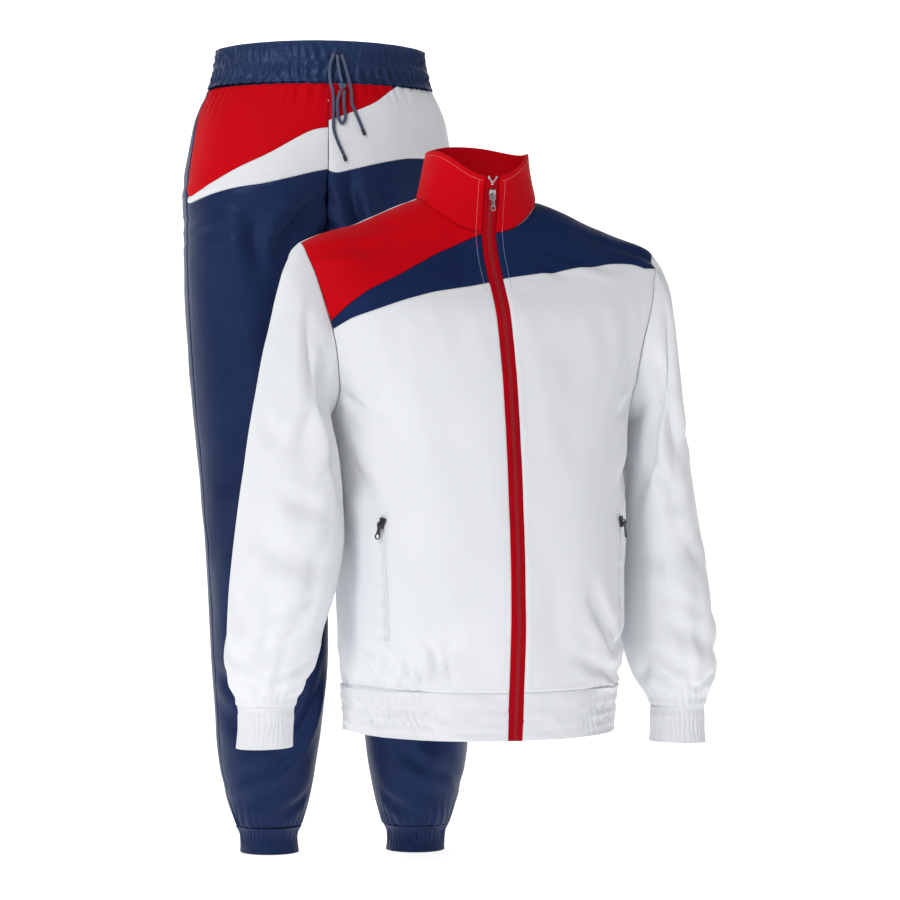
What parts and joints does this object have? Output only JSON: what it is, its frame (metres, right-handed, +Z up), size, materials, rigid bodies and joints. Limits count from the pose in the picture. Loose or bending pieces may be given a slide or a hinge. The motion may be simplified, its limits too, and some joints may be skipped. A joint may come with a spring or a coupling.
{
  "type": "tracksuit: zipped jacket and trousers",
  "caption": "Two-piece sports tracksuit in white, red and navy: a zipped jacket with stand collar in front of elastic-waist trousers, both filled out as worn.",
  "frame": {"origin": "centre of the jacket's neck seam, between the shoulders that hold the jacket up", "axes": "+Z up, fronts facing -Y, the wearer's right side at -X; the trousers stand behind and to the right of the wearer's right, as in the picture"},
  "size_m": [0.624, 0.6227, 1.0498],
  "materials": {
    "white_cloth": "white polyester tricot with a soft satin sheen",
    "white_rib": "white gathered elastic band",
    "red_cloth": "red polyester tricot with a soft satin sheen",
    "navy_cloth": "navy polyester tricot with a soft satin sheen",
    "trouser_cloth": "navy polyester tricot with a satin sheen",
    "waist_elastic": "navy gathered elastic band",
    "zip_tape": "red woven zip tape",
    "pocket_tape": "white woven zip tape",
    "zip_metal": "polished metal",
    "dark_metal": "dark painted metal",
    "drawstring": "blue-grey braided cord",
    "drawstring_tip": "bound cord end"
  },
  "bodies": {
    "cloth": {"jacket_back": "white_cloth", "jacket_front_right": "white_cloth", "jacket_front_left": "white_cloth", "yoke_right_red": "red_cloth", "insert_right_navy": "navy_cloth", "yoke_left_navy": "navy_cloth", "collar": "red_cloth", "hem_band": "white_rib", "sleeve_right": "white_cloth", "sleeve_left": "white_cloth", "cuff_right": "white_rib", "cuff_left": "white_rib", "zip_tape": "zip_tape", "zip_slider": "zip_metal", "pocket_right_zip": "pocket_tape", "pocket_left_zip": "pocket_tape", "pocket_right_slider": "dark_metal", "pocket_left_slider": "dark_metal", "hip_right_red": "red_cloth", "hip_left_red": "red_cloth", "hip_right_white": "white_cloth", "hip_left_white": "white_cloth", "leg_front_right": "trouser_cloth", "leg_front_left": "trouser_cloth", "leg_back_right": "trouser_cloth", "leg_back_left": "trouser_cloth", "waistband": "waist_elastic", "ankle_right": "trouser_cloth", "ankle_left": "trouser_cloth", "cord_right": "drawstring", "cord_left": "drawstring", "cord_bow": "drawstring", "cord_loop": "drawstring", "cord_knot": "drawstring", "tip_right": "drawstring_tip", "tip_left": "drawstring_tip"},
    "front_zip_pull": {"zip_pull": "zip_metal"},
    "right_pocket_pull": {"pocket_right_pull": "dark_metal"},
    "left_pocket_pull": {"pocket_left_pull": "dark_metal"}
  },
  "joints": [
    {"name": "front_zip_pull_hinge", "type": "hinge", "parent": "cloth", "child": "front_zip_pull", "pos_m": [0, -0.06082, 0.00382], "axis": [-1, 0, 0], "range_deg": [0, 150]},
    {"name": "right_pocket_pull_hinge", "type": "hinge", "parent": "cloth", "child": "right_pocket_pull", "pos_m": [-0.15244, -0.10231, -0.38778], "axis": [-0.6036, 0.7646, 0.2261], "range_deg": [0, 150]},
    {"name": "left_pocket_pull_hinge", "type": "hinge", "parent": "cloth", "child": "left_pocket_pull", "pos_m": [0.15244, -0.10231, -0.38778], "axis": [-0.6036, -0.7646, -0.2261], "range_deg": [0, 150]}
  ]
}
